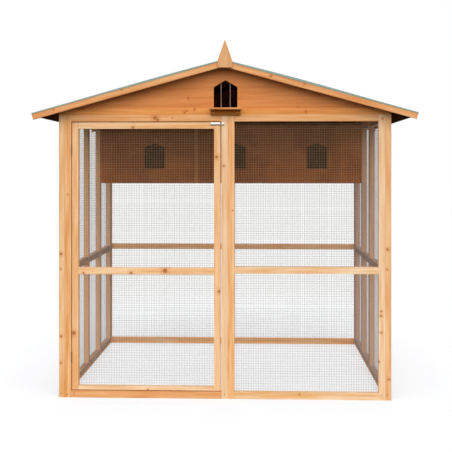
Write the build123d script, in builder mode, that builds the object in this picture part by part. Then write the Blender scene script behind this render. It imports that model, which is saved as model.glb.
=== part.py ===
from math import cos, radians, sin, tan
import os

from build123d import *

# Wooden dovecote, a walk-in loft of mesh panels under a low gabled roof.
# Millimetres. X runs along the front, Y from front to back, Z up.
# The origin is on the ground under the middle of the roof.

# Body
body_width = 2120.0
body_depth = 1800.0
wall_height = 1812.0

# Laths of the panels, all of one section, set on edge or flat
lath_face = 42.0
lath_thick = 38.0
edge_ease = 1.5
bottom_rail_height = 46.0
head_rail_height = 44.0
middle_rail_height = 44.0
middle_rail_low = 790.0

# Side walls: how far behind the front their inner uprights stand, and the middle rail
middle_post_setback = 790.0
nest_post_setback = 1255.0
side_middle_rail_low = 778.0

# Front: the meeting line of the two panels, right of the centre
panel_meeting_x = 25.0
front_middle_rail_low = 798.0
door_gap = 5.0
door_bottom_rail_height = 25.0
door_top_rail_height = 41.0

# Welded mesh: the true mesh has finer squares, and this is every tenth wire
mesh_square = 16.0
wires_per_bar = 10
mesh_bar = 3.0
mesh_thick = 1.6
mesh_lap = 20.0

# Roof: its height follows from the pitch and from where the deck's underside
# crosses the outer face of the side walls
roof_pitch = 15.355
eave_rise = 29.5
eave_overhang = 154.0
deck_thick = 12.0
felt_thick = 4.0
roof_overhang = 90.0
bargeboard_thick = 16.0
bargeboard_width = 36.0

# Gables, whose pigeonhole and finials stand a little right of the middle
gable_shift = 10.0
gable_board_thick = 16.0
gable_strip_thick = 20.0
gable_strip_height = 40.0

# Pigeonhole in the front gable, with its bars and landing shelf
entry_width = 151.0
entry_shoulder = 136.0
entry_peak = 180.0
entry_bar_spacing = 58.0
entry_bar_diameter = 5.0
entry_bar_lap = 12.0
shelf_length = 198.0
shelf_depth = 75.0
shelf_thick = 11.0
cleat_length = 190.0
cleat_depth = 18.0
cleat_height = 34.0

# Finials
finial_width = 94.0
finial_thick = 14.0
finial_drop = 45.0
finial_shoulder_drop = 5.0
finial_rise = 131.0
finial_tip_radius = 2.5

# Nest box across the back
nest_head_gap = 4.0
nest_height = 455.0
nest_board = 12.0
nest_front_board = 634.0
nest_front_joint_x = -253.0
nest_hole_width = 160.0
nest_hole_sill = 114.0
nest_hole_shoulder = 166.0
nest_hole_peak = 199.0
nest_hole_shift = 293.0

# Butt hinges of the door
hinge_height = 64.0
hinge_leaf_thick = 1.5
hinge_leaf_depth = 30.0
hinge_knuckle_diameter = 7.0
hinge_pin_diameter = 3.2
hinge_pin_clearance = 0.2
hinge_knuckle_clearance = 0.5
hinge_low_rise = 209.0
hinge_high_drop = 173.0

# Barrel bolt at the door's top corner
bolt_drop = 11.0
bolt_plate_length = 60.0
bolt_plate_width = 20.0
bolt_plate_thick = 1.5
bolt_pin_diameter = 7.0
bolt_pin_clearance = 0.5
bolt_strap_length = 10.0
bolt_strap_wall = 1.5
bolt_strap_inset = 4.0
bolt_pin_length = 62.0
bolt_pin_setback = 2.0
bolt_knob_diameter = 6.0
bolt_knob_height = 11.0
bolt_knob_margin = 1.0
keeper_length = 14.0
keeper_setback = 4.0

# Clearance of a seated piece from its seat
seat_clearance = 0.3

# Worked-out planes and edges
half_width = body_width / 2
half_depth = body_depth / 2
side_inner_x = half_width - lath_thick
front_inner_y = -half_depth + lath_thick
back_inner_y = half_depth - lath_thick
head_low = wall_height - head_rail_height
pitch = radians(roof_pitch)
door_left = -side_inner_x + lath_face + door_gap
door_right = panel_meeting_x - lath_face - door_gap
door_low = bottom_rail_height + door_gap
door_top = head_low - door_gap
mesh_step = mesh_square * wires_per_bar
gable_inner_y = half_depth - gable_strip_thick
gable_outer_y = gable_inner_y + gable_board_thick
strip_top = wall_height + gable_strip_height
roof_half_run = half_width + eave_overhang
ridge_height = wall_height + eave_rise + half_width * tan(pitch) + deck_thick / cos(pitch)
roof_half_length = half_depth + roof_overhang
deck_half_length = roof_half_length - bargeboard_thick
nest_front_y = -half_depth + nest_post_setback
nest_back_y = back_inner_y - mesh_thick - seat_clearance
nest_half_width = side_inner_x - mesh_thick - seat_clearance
nest_top = wall_height - nest_head_gap
nest_low = nest_top - nest_height
nest_hole_low = nest_low + nest_hole_sill
hinge_axis_x = door_left - door_gap / 2
hinge_heights = (door_low + hinge_low_rise, door_top - hinge_high_drop)
bolt_height = door_top - bolt_drop
hinge_axis_y = -half_depth - hinge_knuckle_diameter / 2 - seat_clearance
bolt_axis_y = -half_depth - bolt_plate_thick - bolt_pin_clearance - bolt_pin_diameter / 2

os.makedirs("parts", exist_ok=True)


def write(piece, label):
    """Labels one finished piece and writes its file."""
    piece.part.label = label
    export_step(piece.part, f"parts/{label}.step")


def block(x_low, x_high, y_low, y_high, z_low, z_high):
    """Adds a square-edged block between two corners to the open part."""
    centre = ((x_low + x_high) / 2, (y_low + y_high) / 2, (z_low + z_high) / 2)
    with Locations(centre):
        Box(x_high - x_low, y_high - y_low, z_high - z_low)


def mesh_openings(width, height):
    """Cuts the squares of a welded mesh out of the open sketch, evenly from its centre."""
    columns = int((width - 2 * mesh_bar) // mesh_step)
    rows = int((height - 2 * mesh_bar) // mesh_step)
    step_x = (width - mesh_bar) / columns
    step_y = (height - mesh_bar) / rows
    with GridLocations(step_x, step_y, columns, rows):
        Rectangle(step_x - mesh_bar, step_y - mesh_bar, mode=Mode.SUBTRACT)


def house_outline(centre_x, low, width, shoulder, peak):
    """Draws a house-shaped outline, square below and pointed above, in the open line."""
    Polyline(
        (centre_x - width / 2, low),
        (centre_x + width / 2, low),
        (centre_x + width / 2, low + shoulder),
        (centre_x, low + peak),
        (centre_x - width / 2, low + shoulder),
        close=True,
    )


def slope_outline(side, above, thick):
    """Draws the section of a board lying along one roof slope, square cut at the eave.

    Side is -1 on the left and 1 on the right, and above is the height of the board's
    underside over the deck's top, measured square to the slope.
    """
    ridge_top = ridge_height + (above + thick) / cos(pitch)
    ridge_low = ridge_height + above / cos(pitch)
    eave_x = roof_half_run + above * sin(pitch)
    eave_z = ridge_height - roof_half_run * tan(pitch) + above * cos(pitch)
    Polyline(
        (0, ridge_top),
        (0, ridge_low),
        (side * eave_x, eave_z),
        (side * (eave_x + thick * sin(pitch)), eave_z + thick * cos(pitch)),
        close=True,
    )


def deck_underside(x):
    """Height of the roof deck's underside at a distance x from the ridge line."""
    return ridge_height - abs(x) * tan(pitch) - deck_thick / cos(pitch)


# Side walls: uprights, rails between them, and mesh on the inner face
side_post_fronts = (
    -half_depth,
    -half_depth + middle_post_setback,
    nest_front_y,
    back_inner_y - lath_face,
)
side_rail_levels = (
    (0, bottom_rail_height),
    (side_middle_rail_low, side_middle_rail_low + middle_rail_height),
    (head_low, wall_height),
)
side_mesh_length = body_depth - 2 * lath_thick - 2 * mesh_thick - 2 * seat_clearance
wall_mesh_height = wall_height - bottom_rail_height - head_rail_height + 2 * mesh_lap
wall_mesh_middle = (bottom_rail_height + head_low) / 2

for side, name in ((-1, "left"), (1, "right")):
    near_x = min(side * side_inner_x, side * half_width)
    far_x = max(side * side_inner_x, side * half_width)

    with BuildPart() as side_posts:
        for front in side_post_fronts:
            block(near_x, far_x, front, front + lath_face, 0, wall_height)
        chamfer(side_posts.edges().filter_by(Axis.Z), length=edge_ease)
    write(side_posts, f"{name}_side_posts")

    with BuildPart() as side_rails:
        for start, end in zip(side_post_fronts[:-1], side_post_fronts[1:]):
            for low, high in side_rail_levels:
                block(near_x, far_x, start + lath_face, end, low, high)
        chamfer(side_rails.edges().filter_by(Axis.Y), length=edge_ease)
    write(side_rails, f"{name}_side_rails")

    mesh_x = side * side_inner_x if side < 0 else side_inner_x - mesh_thick
    with BuildPart() as side_mesh:
        with BuildSketch(Plane.YZ.offset(mesh_x)):
            with Locations((0, wall_mesh_middle)):
                Rectangle(side_mesh_length, wall_mesh_height)
                mesh_openings(side_mesh_length, wall_mesh_height)
        extrude(amount=mesh_thick)
    write(side_mesh, f"{name}_side_mesh")

# Eave plates, which close the side walls up to the deck's underside
with BuildPart() as eave_plates:
    with BuildSketch(Plane.XZ.offset(-gable_inner_y)):
        for side in (-1, 1):
            with BuildLine():
                Polyline(
                    (side * side_inner_x, wall_height),
                    (side * half_width, wall_height),
                    (side * half_width, deck_underside(half_width)),
                    (side * side_inner_x, deck_underside(side_inner_x)),
                    close=True,
                )
            make_face()
    extrude(amount=2 * gable_inner_y)
write(eave_plates, "eave_plates")

# Back wall, which covers the ends of the side walls: uprights, rails and mesh
back_post_lows = (-half_width, -lath_face / 2, half_width - lath_face)
back_rail_levels = (
    (0, bottom_rail_height),
    (middle_rail_low, middle_rail_low + middle_rail_height),
    (head_low, wall_height),
)

with BuildPart() as back_posts:
    for low_x in back_post_lows:
        block(low_x, low_x + lath_face, back_inner_y, half_depth, 0, wall_height)
    chamfer(back_posts.edges().filter_by(Axis.Z), length=edge_ease)
write(back_posts, "back_posts")

with BuildPart() as back_rails:
    for start, end in zip(back_post_lows[:-1], back_post_lows[1:]):
        for low, high in back_rail_levels:
            block(start + lath_face, end, back_inner_y, half_depth, low, high)
    chamfer(back_rails.edges().filter_by(Axis.X), length=edge_ease)
write(back_rails, "back_rails")

back_mesh_width = 2 * (side_inner_x - mesh_thick - seat_clearance)
with BuildPart() as back_mesh:
    with BuildSketch(Plane.XZ.offset(-back_inner_y)):
        with Locations((0, wall_mesh_middle)):
            Rectangle(back_mesh_width, wall_mesh_height)
            mesh_openings(back_mesh_width, wall_mesh_height)
    extrude(amount=mesh_thick)
write(back_mesh, "back_mesh")

# Front, left half: the frame that the door hangs in
frame_left = -side_inner_x
frame_stile_lows = (frame_left, panel_meeting_x - lath_face)

with BuildPart() as door_frame_stiles:
    for low_x in frame_stile_lows:
        block(low_x, low_x + lath_face, -half_depth, front_inner_y, 0, wall_height)
    chamfer(door_frame_stiles.edges().filter_by(Axis.Z), length=edge_ease)
write(door_frame_stiles, "door_frame_stiles")

with BuildPart() as door_frame_rails:
    for low, high in ((0, bottom_rail_height), (head_low, wall_height)):
        block(frame_left + lath_face, frame_stile_lows[1], -half_depth, front_inner_y, low, high)
    chamfer(door_frame_rails.edges().filter_by(Axis.X), length=edge_ease)
write(door_frame_rails, "door_frame_rails")

# Front, right half: the fixed panel
panel_stile_lows = (panel_meeting_x, side_inner_x - lath_face)
panel_rail_levels = (
    (0, bottom_rail_height),
    (front_middle_rail_low, front_middle_rail_low + middle_rail_height),
    (head_low, wall_height),
)

with BuildPart() as front_panel_stiles:
    for low_x in panel_stile_lows:
        block(low_x, low_x + lath_face, -half_depth, front_inner_y, 0, wall_height)
    chamfer(front_panel_stiles.edges().filter_by(Axis.Z), length=edge_ease)
write(front_panel_stiles, "front_panel_stiles")

with BuildPart() as front_panel_rails:
    for low, high in panel_rail_levels:
        block(panel_meeting_x + lath_face, panel_stile_lows[1], -half_depth, front_inner_y, low, high)
    chamfer(front_panel_rails.edges().filter_by(Axis.X), length=edge_ease)
write(front_panel_rails, "front_panel_rails")

panel_mesh_width = panel_stile_lows[1] - panel_meeting_x - lath_face + 2 * mesh_lap
panel_middle_x = (panel_stile_lows[1] + panel_meeting_x + lath_face) / 2
with BuildPart() as front_panel_mesh:
    with BuildSketch(Plane.XZ.offset(-front_inner_y)):
        with Locations((panel_middle_x, wall_mesh_middle)):
            Rectangle(panel_mesh_width, wall_mesh_height)
            mesh_openings(panel_mesh_width, wall_mesh_height)
    extrude(amount=-mesh_thick)
write(front_panel_mesh, "front_panel_mesh")

# Door leaf: stiles the full height, rails between them, mesh on the back
with BuildPart() as door_stiles:
    for low_x in (door_left, door_right - lath_face):
        block(low_x, low_x + lath_face, -half_depth, front_inner_y, door_low, door_top)
    chamfer(door_stiles.edges().filter_by(Axis.Z), length=edge_ease)
write(door_stiles, "door_stiles")

door_rail_levels = (
    (door_low, door_low + door_bottom_rail_height),
    (middle_rail_low, middle_rail_low + middle_rail_height),
    (door_top - door_top_rail_height, door_top),
)
with BuildPart() as door_rails:
    for low, high in door_rail_levels:
        block(door_left + lath_face, door_right - lath_face, -half_depth, front_inner_y, low, high)
    chamfer(door_rails.edges().filter_by(Axis.X), length=edge_ease)
write(door_rails, "door_rails")

door_mesh_width = door_right - door_left - 2 * lath_face + 2 * mesh_lap
door_mesh_low = door_low + door_bottom_rail_height - mesh_lap
door_mesh_top = door_top - door_top_rail_height + mesh_lap
with BuildPart() as door_mesh:
    with BuildSketch(Plane.XZ.offset(-front_inner_y)):
        with Locations(((door_left + door_right) / 2, (door_mesh_low + door_mesh_top) / 2)):
            Rectangle(door_mesh_width, door_mesh_top - door_mesh_low)
            mesh_openings(door_mesh_width, door_mesh_top - door_mesh_low)
    extrude(amount=-mesh_thick)
write(door_mesh, "door_mesh")

# Butt hinges: a leaf on each edge face of the gap, joined to knuckles round one pin
knuckle_radius = hinge_knuckle_diameter / 2
knuckle_length = (hinge_height - 2 * hinge_knuckle_clearance) / 3
pin_bore_radius = hinge_pin_diameter / 2 + hinge_pin_clearance
hinge_lows = [height - hinge_height / 2 for height in hinge_heights]
leaf_back_y = -half_depth + hinge_leaf_depth
frame_edge_x = door_left - door_gap


def hinge_section(edge_x, toward_axis):
    """Draws one hinge leaf with its knuckle, seen from above, in the open sketch."""
    leaf_x = edge_x + toward_axis * hinge_leaf_thick / 2
    with Locations((leaf_x, (hinge_axis_y + leaf_back_y) / 2)):
        Rectangle(hinge_leaf_thick, leaf_back_y - hinge_axis_y)
    with Locations((hinge_axis_x, hinge_axis_y)):
        Circle(knuckle_radius)


with BuildPart() as hinge_frame_leaves:
    for low in hinge_lows:
        for knuckle_low in (low, low + hinge_height - knuckle_length):
            with BuildSketch(Plane.XY.offset(knuckle_low)):
                hinge_section(frame_edge_x, 1)
            extrude(amount=knuckle_length)
        with BuildSketch(Plane.XY.offset(low)):
            with Locations((frame_edge_x + hinge_leaf_thick / 2, (leaf_back_y - half_depth) / 2)):
                Rectangle(hinge_leaf_thick, hinge_leaf_depth)
        extrude(amount=hinge_height)
        with BuildSketch(Plane.XY.offset(low)):
            with Locations((hinge_axis_x, hinge_axis_y)):
                Circle(hinge_pin_diameter / 2)
        extrude(amount=hinge_height)
write(hinge_frame_leaves, "hinge_frame_leaves")

with BuildPart() as hinge_door_leaves:
    for low in hinge_lows:
        middle_low = low + knuckle_length + hinge_knuckle_clearance
        with BuildSketch(Plane.XY.offset(middle_low)):
            hinge_section(door_left, -1)
            with Locations((hinge_axis_x, hinge_axis_y)):
                Circle(pin_bore_radius, mode=Mode.SUBTRACT)
        extrude(amount=knuckle_length)
        with BuildSketch(Plane.XY.offset(low)):
            with Locations((door_left - hinge_leaf_thick / 2, (leaf_back_y - half_depth) / 2)):
                Rectangle(hinge_leaf_thick, hinge_leaf_depth)
        extrude(amount=hinge_height)
write(hinge_door_leaves, "hinge_door_leaves")

# Barrel bolt on the door's top rail: plate, two straps over the pin, and the pin
bolt_plate_right = door_right - bolt_strap_inset / 2
bolt_plate_left = bolt_plate_right - bolt_plate_length
plate_front_y = -half_depth - bolt_plate_thick
strap_inner = bolt_pin_diameter / 2 + bolt_pin_clearance
strap_outer = strap_inner + bolt_strap_wall


def strap_section():
    """Draws a strap bent over the pin, seen along the pin, in the open sketch."""
    with Locations((bolt_axis_y, bolt_height)):
        Circle(strap_outer)
    with Locations(((bolt_axis_y + plate_front_y) / 2, bolt_height)):
        Rectangle(plate_front_y - bolt_axis_y, 2 * strap_outer)
    with Locations((bolt_axis_y, bolt_height)):
        Circle(strap_inner, mode=Mode.SUBTRACT)
    with Locations(((bolt_axis_y + plate_front_y) / 2, bolt_height)):
        Rectangle(plate_front_y - bolt_axis_y, 2 * strap_inner, mode=Mode.SUBTRACT)


strap_lefts = (
    bolt_plate_left + bolt_strap_inset,
    bolt_plate_right - bolt_strap_inset - bolt_strap_length,
)
with BuildPart() as bolt_plate:
    block(
        bolt_plate_left,
        bolt_plate_right,
        plate_front_y,
        -half_depth,
        bolt_height - bolt_plate_width / 2,
        bolt_height + bolt_plate_width / 2,
    )
    for strap_left in strap_lefts:
        with BuildSketch(Plane.YZ.offset(strap_left)):
            strap_section()
        extrude(amount=bolt_strap_length)
write(bolt_plate, "bolt_plate")

pin_right = bolt_plate_right - bolt_pin_setback
knob_x = strap_lefts[0] + bolt_strap_length + bolt_knob_margin + bolt_knob_diameter / 2
with BuildPart() as bolt_pin:
    with BuildSketch(Plane.YZ.offset(pin_right - bolt_pin_length)):
        with Locations((bolt_axis_y, bolt_height)):
            Circle(bolt_pin_diameter / 2)
    extrude(amount=bolt_pin_length)
    with BuildSketch(Plane.XZ.offset(-bolt_axis_y)):
        with Locations((knob_x, bolt_height)):
            Circle(bolt_knob_diameter / 2)
    extrude(amount=bolt_knob_height)
write(bolt_pin, "bolt_pin")

keeper_left = frame_stile_lows[1] + keeper_setback
with BuildPart() as bolt_keeper:
    block(
        keeper_left,
        keeper_left + keeper_length,
        plate_front_y,
        -half_depth,
        bolt_height - bolt_plate_width / 2,
        bolt_height + bolt_plate_width / 2,
    )
    with BuildSketch(Plane.YZ.offset(keeper_left)):
        strap_section()
    extrude(amount=keeper_length)
write(bolt_keeper, "bolt_keeper")

# Gables: a strip along the head of the wall, and a field above it up to the deck
strip_corner_x = (ridge_height - deck_thick / cos(pitch) - strip_top) / tan(pitch)

with BuildPart() as gable_strips:
    for end in (-1, 1):
        with BuildSketch(Plane.XZ.offset(-end * gable_inner_y)):
            with BuildLine():
                Polyline(
                    (-half_width, wall_height),
                    (half_width, wall_height),
                    (half_width, deck_underside(half_width)),
                    (strip_corner_x, strip_top),
                    (-strip_corner_x, strip_top),
                    (-half_width, deck_underside(half_width)),
                    close=True,
                )
            make_face()
        extrude(amount=-end * gable_strip_thick)
    outer_faces = gable_strips.faces().sort_by(Axis.Y)
    long_edges = (outer_faces[0].edges() + outer_faces[-1].edges()).filter_by(Axis.X)
    chamfer(long_edges, length=edge_ease)
write(gable_strips, "gable_strips")

for end, name in ((-1, "front"), (1, "back")):
    with BuildPart() as gable_board:
        with BuildSketch(Plane.XZ.offset(-end * gable_inner_y)):
            with BuildLine():
                Polyline(
                    (-strip_corner_x, strip_top),
                    (strip_corner_x, strip_top),
                    (0, deck_underside(0)),
                    close=True,
                )
            make_face()
            if name == "front":
                with BuildLine():
                    house_outline(gable_shift, strip_top, entry_width, entry_shoulder, entry_peak)
                make_face(mode=Mode.SUBTRACT)
        extrude(amount=-end * gable_board_thick)
    write(gable_board, f"{name}_gable_board")

# Pigeonhole bars, standing behind the gable board
bar_y = -gable_inner_y + seat_clearance + entry_bar_diameter / 2
with BuildPart() as entry_bars:
    with BuildSketch(Plane.XY.offset(strip_top - entry_bar_lap)):
        for side in (-1, 1):
            with Locations((gable_shift + side * entry_bar_spacing / 2, bar_y)):
                Circle(entry_bar_diameter / 2)
    extrude(amount=entry_peak + entry_bar_lap)
write(entry_bars, "entry_bars")

# Landing shelf under the pigeonhole, on a cleat screwed to the gable strip
with BuildPart() as landing_shelf:
    block(
        gable_shift - shelf_length / 2,
        gable_shift + shelf_length / 2,
        -half_depth - shelf_depth,
        -half_depth,
        strip_top - shelf_thick,
        strip_top,
    )
    chamfer(landing_shelf.edges().filter_by(Axis.X).sort_by(Axis.Y)[:2], length=edge_ease)
write(landing_shelf, "landing_shelf")

with BuildPart() as shelf_cleat:
    block(
        gable_shift - cleat_length / 2,
        gable_shift + cleat_length / 2,
        -half_depth - cleat_depth,
        -half_depth,
        strip_top - shelf_thick - cleat_height,
        strip_top - shelf_thick,
    )
    chamfer(shelf_cleat.faces().sort_by(Axis.Y)[0].edges(), length=edge_ease)
write(shelf_cleat, "shelf_cleat")

# Roof: deck, felt and bargeboards on each slope, all to the same square-cut eave
for side, name in ((-1, "left"), (1, "right")):
    with BuildPart() as roof_deck:
        with BuildSketch(Plane.XZ.offset(-deck_half_length)):
            with BuildLine():
                slope_outline(side, -deck_thick, deck_thick)
            make_face()
        extrude(amount=2 * deck_half_length)
    write(roof_deck, f"roof_deck_{name}")

    with BuildPart() as roof_felt:
        with BuildSketch(Plane.XZ.offset(-roof_half_length)):
            with BuildLine():
                slope_outline(side, 0, felt_thick)
            make_face()
        extrude(amount=2 * roof_half_length)
    write(roof_felt, f"roof_felt_{name}")

    for end, end_name in ((-1, "front"), (1, "back")):
        with BuildPart() as bargeboard:
            with BuildSketch(Plane.XZ.offset(-end * deck_half_length)):
                with BuildLine():
                    slope_outline(side, -bargeboard_width, bargeboard_width)
                make_face()
            extrude(amount=-end * bargeboard_thick)
            outer_face = bargeboard.faces().sort_by(Axis.Y)[0 if end < 0 else -1]
            chamfer(outer_face.edges(), length=edge_ease)
        write(bargeboard, f"{end_name}_bargeboard_{name}")

# Finials over the joints of the bargeboards
with BuildPart() as finials:
    for end in (-1, 1):
        with BuildSketch(Plane.XZ.offset(-end * roof_half_length)) as finial_face:
            with BuildLine():
                Polyline(
                    (gable_shift - finial_width / 2, ridge_height - finial_drop),
                    (gable_shift + finial_width / 2, ridge_height - finial_drop),
                    (gable_shift + finial_width / 2, ridge_height - finial_shoulder_drop),
                    (gable_shift, ridge_height + finial_rise),
                    (gable_shift - finial_width / 2, ridge_height - finial_shoulder_drop),
                    close=True,
                )
            make_face()
            fillet(finial_face.vertices().sort_by(Axis.Y)[-1], radius=finial_tip_radius)
        extrude(amount=-end * finial_thick)
    outer_faces = finials.faces().sort_by(Axis.Y)
    chamfer(outer_faces[0].edges() + outer_faces[-1].edges(), length=edge_ease)
write(finials, "finials")

# Nest box across the back: front boards of one width with a house-shaped hole each,
# the left one made up to the wall
nest_joints = (nest_front_joint_x, nest_front_joint_x + nest_front_board)
nest_front_boards = (
    ("nest_front_left", -nest_half_width, nest_joints[0]),
    ("nest_front_middle", nest_joints[0], nest_joints[1]),
    ("nest_front_right", nest_joints[1], nest_half_width),
)

for board, (label, left, right) in enumerate(nest_front_boards):
    hole_x = nest_front_joint_x + nest_hole_shift + (board - 1) * nest_front_board
    with BuildPart() as nest_front:
        with BuildSketch(Plane.XZ.offset(-nest_front_y)):
            with Locations(((left + right) / 2, nest_low + nest_height / 2)):
                Rectangle(right - left, nest_height)
            with BuildLine():
                house_outline(hole_x, nest_hole_low, nest_hole_width, nest_hole_shoulder, nest_hole_peak)
            make_face(mode=Mode.SUBTRACT)
        extrude(amount=-nest_board)
    write(nest_front, label)

nest_inner_front_y = nest_front_y + nest_board
with BuildPart() as nest_back:
    block(-nest_half_width, nest_half_width, nest_back_y - nest_board, nest_back_y, nest_low, nest_top)
write(nest_back, "nest_back")

with BuildPart() as nest_ends:
    for near_x in (-nest_half_width, nest_half_width - nest_board):
        block(
            near_x,
            near_x + nest_board,
            nest_inner_front_y,
            nest_back_y - nest_board,
            nest_low,
            nest_top,
        )
write(nest_ends, "nest_ends")

with BuildPart() as nest_floor_and_lid:
    for low in (nest_low, nest_top - nest_board):
        block(
            -nest_half_width + nest_board,
            nest_half_width - nest_board,
            nest_inner_front_y,
            nest_back_y - nest_board,
            low,
            low + nest_board,
        )
write(nest_floor_and_lid, "nest_floor_and_lid")
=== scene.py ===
import math

import bpy
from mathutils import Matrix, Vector


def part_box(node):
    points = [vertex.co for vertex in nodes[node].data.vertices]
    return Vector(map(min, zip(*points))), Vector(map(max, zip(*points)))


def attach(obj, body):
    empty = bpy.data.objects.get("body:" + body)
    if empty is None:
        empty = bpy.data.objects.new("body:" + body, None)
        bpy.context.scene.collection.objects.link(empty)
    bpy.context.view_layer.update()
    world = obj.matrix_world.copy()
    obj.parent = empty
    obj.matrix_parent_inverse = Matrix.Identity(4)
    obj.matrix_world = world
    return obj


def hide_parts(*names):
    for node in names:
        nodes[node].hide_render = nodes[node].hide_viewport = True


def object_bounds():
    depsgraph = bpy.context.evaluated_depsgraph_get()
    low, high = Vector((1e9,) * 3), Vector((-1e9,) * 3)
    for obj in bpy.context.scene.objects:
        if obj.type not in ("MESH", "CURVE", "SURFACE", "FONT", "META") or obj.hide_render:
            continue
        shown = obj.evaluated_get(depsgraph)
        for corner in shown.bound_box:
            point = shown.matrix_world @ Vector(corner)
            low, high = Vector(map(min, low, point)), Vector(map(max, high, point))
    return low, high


# Dovecote of honey-stained softwood laths and welded mesh, seen from the front.
# Metres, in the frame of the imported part.

MM = 0.001

# Camera, worked out from the vanishing point of the side rails in the photograph
PHOTO_SIZE = 452
LENS_PIXELS = 873
HORIZON_ROW = 168.05
CAMERA_PLACE = (0.221, -6.457, 1.471)
CAMERA_TURN = math.radians(2.143)
SENSOR = 36.0

# Light, at a level where a colour renders about as it is written
SKY_LEVEL = 0.38
FRONT_LAMP = 21000.0
TOP_LAMP = 60.0
BACK_LAMP = 200.0

# Floor: its size, its glow by the dovecote, and from where to where that rises to plain white
FLOOR_SIZE = 200.0
FLOOR_GLOW = 0.62
FLOOR_NEAR = 2.0
FLOOR_FAR = 4.5

# Welded mesh: squares, wire, and how deep the wires sink into each other at the welds
MESH_SQUARE = 16 * MM
PANEL_SQUARE = 15.6 * MM
DOOR_SQUARE = 16.25 * MM
WIRE = 1.2 * MM
WELD_SINK = 0.36

# Painted light: the front's wires are painted paler and warmer from about this height, above which
# the nest box is behind them and the eaves shade them
WIRES_PAINTED_LIGHT_FROM = 1.37
WIRES_PAINTED_LIGHT_FADE = 15 * MM

# Staples that hold the mesh on the backs of the laths
STAPLE_CROWN = 10 * MM
STAPLE_WIRE = 1.0 * MM
STAPLE_LEG = 5 * MM
STAPLE_EDGE = 9 * MM
STAPLE_STEP = 96 * MM

# Roof felt: the upper courses, the fold, hem and lift of the verges, and the capping strip
ROOF_PITCH = math.radians(15.355)
FELT_THICK = 2.5 * MM
FELT_INSET = 1 * MM
FELT_ROUNDING = 0.3
FELT_LAP_DOWN = 335 * MM
FELT_FOLD = 5 * MM
FELT_HEM = 3 * MM
LEFT_LIFT = 4.5 * MM
RIGHT_LIFT = 6.5 * MM
LIFT_CUTS = 24
LIFT_SKEW = 0.7
CAP_WIDTH = 125 * MM
CAP_MEETING = 0.3 * MM

# Clout nails in the felt
CLOUT_HEAD = 9 * MM
CLOUT_THICK = 1.2 * MM
CLOUT_DOME = 0.5 * MM
CLOUT_PROUD = 0.2 * MM
CLOUT_STEP = 95 * MM
CLOUT_EDGE = 18 * MM

# Screws: their heads, and where they sit in from the edges or off the middle of what they hold
SCREW_HEAD = 7 * MM
SMALL_SCREW_HEAD = 3.6 * MM
CLEAT_SCREW_OFF = 75 * MM
POST_SCREW_IN = 21 * MM
POST_SCREW_UP = 27 * MM
PLATE_SCREW_IN = 2.2 * MM
PLATE_SCREWS_OFF = (-10 * MM, 12 * MM)
FINIAL_NAILS = ((12 * MM, 48 * MM), (-14 * MM, 20 * MM))
FINIAL_NAIL_SINK = 1 * MM

# The bolt: how thick its plate is, and how high the painted shade along the lower edge of its zinc
# reaches and how far it fades
PLATE_THICK = 1.5 * MM
BOLT_SHADE_HEIGHT = 6.5 * MM
BOLT_SHADE_FADE = 1 * MM

# Knots: a scattered one's size and its share of the wood, their tone, a distance in radii that
# no knot reaches, and how deep from the front the knots that show there lie
KNOT_RADIUS = 5 * MM
KNOT_CELL = 60 * MM
KNOT_CORE = "8E4A22"
KNOT_FREE = 10.0
FRONT_POSTS_DEEP = 100 * MM

# Sapwood at the end of the nest's left board: how far in, and its sharp and its faded half width
SAPWOOD_IN = 12 * MM
SAPWOOD_SHARP = 9 * MM
SAPWOOD_FADED = 14 * MM

# Patterns of the wood: the drift of growth rings, streaks, fibres, the change from lath to lath,
# clouds and bands of veneer, and how the wood and the veneer are stretched along the grain
RING_DRIFT = 70 * MM
STREAK = 18 * MM
FIBRE = 1.5 * MM
LATH_CHANGE = 110 * MM
VENEER_CLOUD = 240 * MM
VENEER_BAND = 14 * MM
ALONG = 0.06
VENEER_ALONG = 0.12

# Patterns of the felt: chippings, mottling and weathering
CHIPPING = 2.5 * MM
MOTTLE = 30 * MM
WEATHERING = 350 * MM

# The grain's turn onto the Z axis
GRAIN_TURN = {
    "x": (0, -math.pi / 2, 0),
    "y": (math.pi / 2, 0, 0),
    "z": (0, 0, 0),
    "left slope": (0, -math.pi / 2 + ROOF_PITCH, 0),
    "right slope": (0, -math.pi / 2 - ROOF_PITCH, 0),
}

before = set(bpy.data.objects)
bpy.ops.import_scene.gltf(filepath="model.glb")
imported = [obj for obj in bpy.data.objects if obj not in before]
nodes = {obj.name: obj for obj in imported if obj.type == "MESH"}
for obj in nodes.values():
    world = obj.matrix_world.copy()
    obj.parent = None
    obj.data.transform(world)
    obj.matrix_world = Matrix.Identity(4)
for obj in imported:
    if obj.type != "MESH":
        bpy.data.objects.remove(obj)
cad_low, cad_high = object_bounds()

# The front's face, and a depth between the front pair of side posts and the next
front_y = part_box("front_panel_stiles")[0].y
front_posts_end = front_y + FRONT_POSTS_DEEP


# Colours and shader nodes


def colour(code):
    """Linear RGBA of an sRGB hex colour."""
    parts = [int(code[i : i + 2], 16) / 255 for i in (0, 2, 4)]
    linear = [c / 12.92 if c <= 0.04045 else ((c + 0.055) / 1.055) ** 2.4 for c in parts]
    return (*linear, 1.0)


def add(tree, kind, inputs, out=0, **settings):
    """Adds one shader node with its settings, sets or links its inputs, and gives one output."""
    made = tree.nodes.new("ShaderNode" + kind)
    for key, value in settings.items():
        setattr(made, key, value)
    for key, value in inputs.items():
        if isinstance(value, bpy.types.NodeSocket):
            tree.links.new(value, made.inputs[key])
        else:
            made.inputs[key].default_value = value
    return made.outputs[out]


def new_material(name):
    """A material with only its surface shader, its tree, and the place that patterns read."""
    material = bpy.data.materials.new(name)
    material.use_nodes = True
    tree = material.node_tree
    return material, tree, tree.nodes["Principled BSDF"], add(tree, "TexCoord", {}, "Object")


# Softwood


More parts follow.
